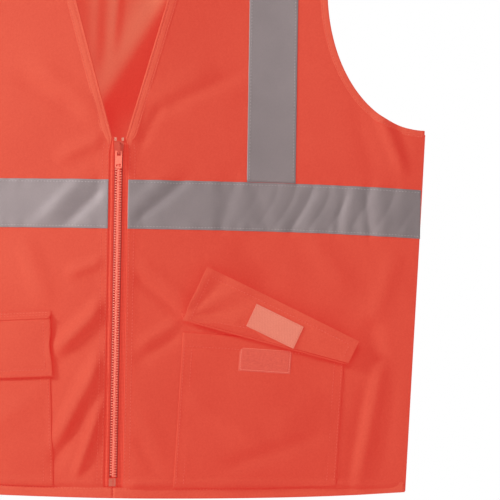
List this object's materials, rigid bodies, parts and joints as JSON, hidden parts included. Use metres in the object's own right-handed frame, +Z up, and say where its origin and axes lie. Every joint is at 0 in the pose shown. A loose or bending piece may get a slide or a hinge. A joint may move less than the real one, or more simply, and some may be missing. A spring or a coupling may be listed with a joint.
{
  "type": "high-visibility safety vest",
  "caption": "Sleeveless zip-front high-visibility vest, reflective bands round the waist and over the shoulders, flap patch pockets with hook-and-loop closure.",
  "frame": {"origin": "under the middle of the vest, level with the lowest point of the hem", "axes": "+Z up through the collar, -Y out of the zipped front, +X towards the wearer's left"},
  "size_m": [0.6268, 0.1129, 0.6905],
  "materials": {
    "cloth": "warp-knit polyester, matt",
    "binding": "polyester binding, matt",
    "reflective": "silver glass-bead tape, satin",
    "zip_tape": "woven zip tape, matt",
    "zip_teeth": "moulded plastic, satin",
    "slider": "enamelled die casting, semi-gloss",
    "stop": "bright",
    "pad": "hook and loop pad, fuzzy",
    "label": "blank satin label"
  },
  "bodies": {
    "back": {"back_panel": "cloth", "back_waist_tape": "reflective", "back_neck_binding": "binding", "back_hem_binding": "binding", "care_label": "label", "left_side_panel": "cloth", "left_side_waist_tape": "reflective", "left_shoulder_tape": "reflective", "left_armhole_binding": "binding", "left_side_seam": "binding", "left_shoulder_seam": "binding", "right_side_panel": "cloth", "right_side_waist_tape": "reflective", "right_shoulder_tape": "reflective", "right_armhole_binding": "binding", "right_side_seam": "binding", "right_shoulder_seam": "binding"},
    "left_front": {"left_front_panel": "cloth", "left_waist_tape": "reflective", "left_chest_tape": "reflective", "left_neck_binding": "binding", "left_hem_binding": "binding", "left_zip_tape": "zip_tape", "left_zip_teeth": "zip_teeth", "left_top_stop": "stop", "left_pocket": "cloth", "left_pocket_loop_pad": "pad", "left_flap_root": "cloth", "insertion_pin": "zip_teeth"},
    "right_front": {"right_front_panel": "cloth", "right_waist_tape": "reflective", "right_chest_tape": "reflective", "right_neck_binding": "binding", "right_hem_binding": "binding", "right_zip_tape": "zip_tape", "right_zip_teeth": "zip_teeth", "right_top_stop": "stop", "right_pocket": "cloth", "right_pocket_loop_pad": "pad", "right_flap_root": "cloth", "retainer_box": "zip_teeth"},
    "left_flap": {"left_flap": "cloth", "left_flap_hook_pad": "pad"},
    "right_flap": {"right_flap": "cloth", "right_flap_hook_pad": "pad"},
    "slider": {"slider_front": "slider", "slider_back": "slider"},
    "pull": {"pull_tab": "slider"}
  },
  "joints": [
    {"name": "left_front_open", "type": "hinge", "parent": "back", "child": "left_front", "pos_m": [0.292, -0.01282, 0], "axis": [-0.2694, 0, 0.963], "range_deg": [0, 90]},
    {"name": "right_front_open", "type": "hinge", "parent": "back", "child": "right_front", "pos_m": [-0.292, -0.01282, 0], "axis": [-0.2694, 0, -0.963], "range_deg": [0, 90]},
    {"name": "left_flap_fold", "type": "hinge", "parent": "left_front", "child": "left_flap", "pos_m": [0.0669, -0.04288, 0.1811], "axis": [-0.959, -0.145, 0.2433], "range_deg": [-175, 0], "stiffness_Nm_per_rad": 0.01},
    {"name": "right_flap_lift", "type": "hinge", "parent": "right_front", "child": "right_flap", "pos_m": [-0.0669, -0.04288, 0.1811], "axis": [-0.9857, 0.1568, -0.0618], "range_deg": [0, 100]},
    {"name": "zip_slide", "type": "slide", "parent": "right_front", "child": "slider", "axis": [0, -0.0457, -0.999], "range_m": [0, 0.32]},
    {"name": "pull_swing", "type": "hinge", "parent": "slider", "child": "pull", "pos_m": [0, -0.04104, 0.35077], "axis": [-1, 0, 0], "range_deg": [0, 135]}
  ]
}
